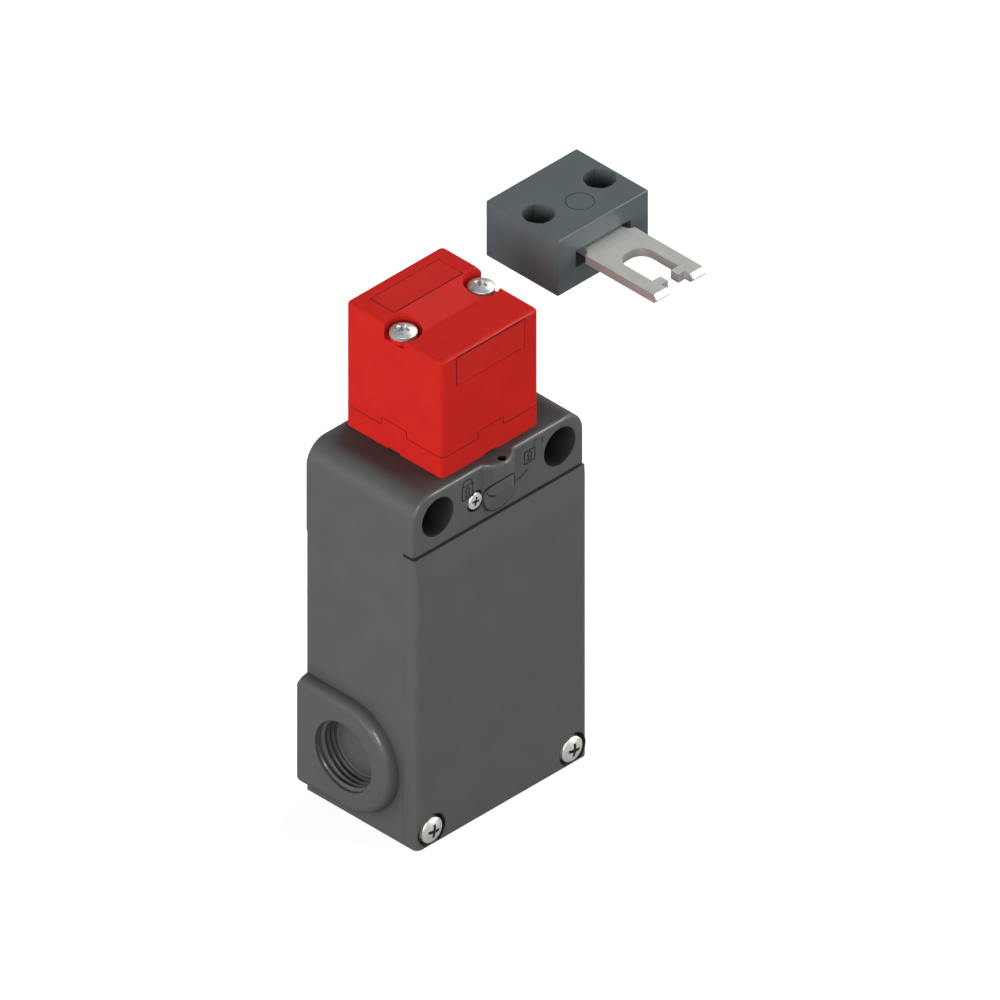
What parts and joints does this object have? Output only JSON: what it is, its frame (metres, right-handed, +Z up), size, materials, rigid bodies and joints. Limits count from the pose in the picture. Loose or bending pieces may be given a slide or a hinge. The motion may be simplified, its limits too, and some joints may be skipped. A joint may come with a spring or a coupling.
{
  "type": "tongue interlock switch",
  "caption": "Dark grey safety interlock switch with a red key head, side conduit entries and a release dial, with its separate block-mounted steel tongue beside the head.",
  "frame": {"origin": "centre of the housing's bottom face", "axes": "+Z up along the housing towards the head, -Y out of the front cover, +X to the side where the loose actuator stands"},
  "size_m": [0.0975, 0.0493, 0.1329],
  "materials": {
    "housing_plastic": "fine matte",
    "head_plastic": "fine matte",
    "shutter_plastic": "smooth",
    "dial_plastic": "fine matte",
    "inner_plastic": "smooth",
    "seal_rubber": "matte",
    "plated_steel": "zinc plated",
    "bright_steel": "satin",
    "contact_brass": "satin",
    "winding_copper": "enamelled copper wire"
  },
  "bodies": {
    "base": {"housing_body": "housing_plastic", "housing_cover": "housing_plastic", "cover_gasket": "seal_rubber", "cover_screw_left": "plated_steel", "cover_screw_right": "plated_steel", "head_collar": "head_plastic", "head_shell": "head_plastic", "head_screw_left": "plated_steel", "head_screw_right": "plated_steel", "front_shutter_pin": "bright_steel", "front_shutter_spring": "bright_steel", "top_shutter_pin": "bright_steel", "top_shutter_spring": "bright_steel", "cam_axle": "bright_steel", "rod_return_spring": "bright_steel", "contact_block": "inner_plastic", "terminal_upper_left": "contact_brass", "terminal_lower_left": "contact_brass", "terminal_upper_right": "contact_brass", "terminal_lower_right": "contact_brass", "terminal_screws": "plated_steel", "solenoid_yoke": "bright_steel", "solenoid_bobbin": "inner_plastic", "solenoid_winding": "winding_copper", "armature_spring": "bright_steel", "solenoid_terminal_block": "inner_plastic", "solenoid_terminal_screws": "plated_steel", "dial_lock_screw": "plated_steel", "earth_terminal": "contact_brass", "earth_screw": "plated_steel"},
    "front_shutter_leaf": {"front_shutter": "shutter_plastic"},
    "top_shutter_leaf": {"top_shutter": "shutter_plastic"},
    "cam": {"control_cam": "bright_steel"},
    "rod": {"push_rod": "inner_plastic", "contact_carrier": "inner_plastic", "bridge_contact_upper": "contact_brass", "bridge_contact_lower": "contact_brass"},
    "lock": {"solenoid_armature": "bright_steel", "lock_blade": "bright_steel"},
    "dial": {"release_dial": "dial_plastic", "dial_seal": "seal_rubber", "release_cam": "bright_steel"},
    "actuator": {"actuator_block": "housing_plastic", "actuator_base_plate": "bright_steel", "tongue_pivot_pin": "bright_steel", "tongue_washers": "plated_steel", "tongue_centring_springs": "bright_steel"},
    "tongue": {"actuator_tongue": "bright_steel"}
  },
  "joints": [
    {"name": "front_shutter_hinge", "type": "hinge", "parent": "base", "child": "front_shutter_leaf", "pos_m": [0, -0.01307, 0.129], "axis": [1, 0, 0], "range_deg": [0, 85], "stiffness_Nm_per_rad": 0.0004},
    {"name": "top_shutter_hinge", "type": "hinge", "parent": "base", "child": "top_shutter_leaf", "pos_m": [0, 0.0131, 0.1318], "axis": [1, 0, 0], "range_deg": [0, 85], "stiffness_Nm_per_rad": 0.0004},
    {"name": "cam_turn", "type": "hinge", "parent": "base", "child": "cam", "pos_m": [0, 0.0017, 0.1162], "axis": [-1, 0, 0], "range_deg": [0, 40]},
    {"name": "rod_slide", "type": "slide", "parent": "base", "child": "rod", "axis": [0, 0, -1], "range_m": [0, 0.004], "stiffness_N_per_m": 50, "springref_m": -0.001, "deforming": ["rod_return_spring"]},
    {"name": "lock_slide", "type": "slide", "parent": "base", "child": "lock", "axis": [1, 0, 0], "range_m": [0, 0.003], "stiffness_N_per_m": 60, "deforming": ["armature_spring"]},
    {"name": "dial_turn", "type": "hinge", "parent": "base", "child": "dial", "pos_m": [0, -0.0168, 0.0884], "axis": [0, 1, 0], "range_deg": [0, 170]},
    {"name": "actuator_slide", "type": "slide", "parent": "base", "child": "actuator", "axis": [0, -1, 0], "range_m": [0, 0.028]},
    {"name": "tongue_swivel", "type": "hinge", "parent": "actuator", "child": "tongue", "pos_m": [0.0512, 0.0096, 0.12495], "axis": [0, 0, 1], "range_deg": [-8, 8], "stiffness_Nm_per_rad": 0.002, "deforming": ["tongue_centring_springs"]}
  ],
  "couplings": [
    {"joint": "cam_turn", "follows": "rod_slide", "rad_per_m": 174.5}
  ]
}
